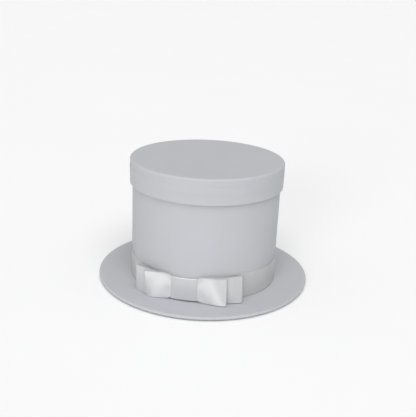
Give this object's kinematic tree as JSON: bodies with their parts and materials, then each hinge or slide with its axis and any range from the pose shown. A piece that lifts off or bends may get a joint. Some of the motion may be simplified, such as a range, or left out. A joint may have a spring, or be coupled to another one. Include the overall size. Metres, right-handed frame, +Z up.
{
  "type": "top hat gift box",
  "caption": "Gift box shaped like a top hat: round paper-covered board crown on a flat brim, lift-off lid with an overhanging rim, satin ribbon band with a flat layered bow.",
  "frame": {"origin": "centre of the brim's underside, on the crown's axis", "axes": "+Z up along the crown's axis; -Y is the front, where the bow is; +X is the box's left as seen from inside it, the viewer's right from the front"},
  "size_m": [0.21, 0.21, 0.122],
  "materials": {
    "greyboard": "matte",
    "cover_paper": "matte",
    "lining_paper": "matte",
    "underside_paper": "matte",
    "satin_ribbon": "satin",
    "clear_glue": "gloss"
  },
  "bodies": {
    "box": {"crown_tube": "greyboard", "crown_cover": "cover_paper", "crown_lining": "lining_paper", "crown_floor": "greyboard", "floor_paper": "lining_paper", "brim_board": "greyboard", "brim_cover": "cover_paper", "brim_underside": "underside_paper", "hat_band": "satin_ribbon", "bow_long_loops": "satin_ribbon", "bow_short_loops": "satin_ribbon", "bow_wrap": "satin_ribbon", "bow_glue": "clear_glue"},
    "lid": {"lid_top_board": "greyboard", "lid_rim_board": "greyboard", "lid_top_cover": "cover_paper", "lid_rim_cover": "cover_paper", "lid_lining": "lining_paper"}
  },
  "joints": [
    {"name": "lid_lift", "type": "slide", "parent": "box", "child": "lid", "axis": [0, 0, 1], "range_m": [0, 0.14]}
  ]
}
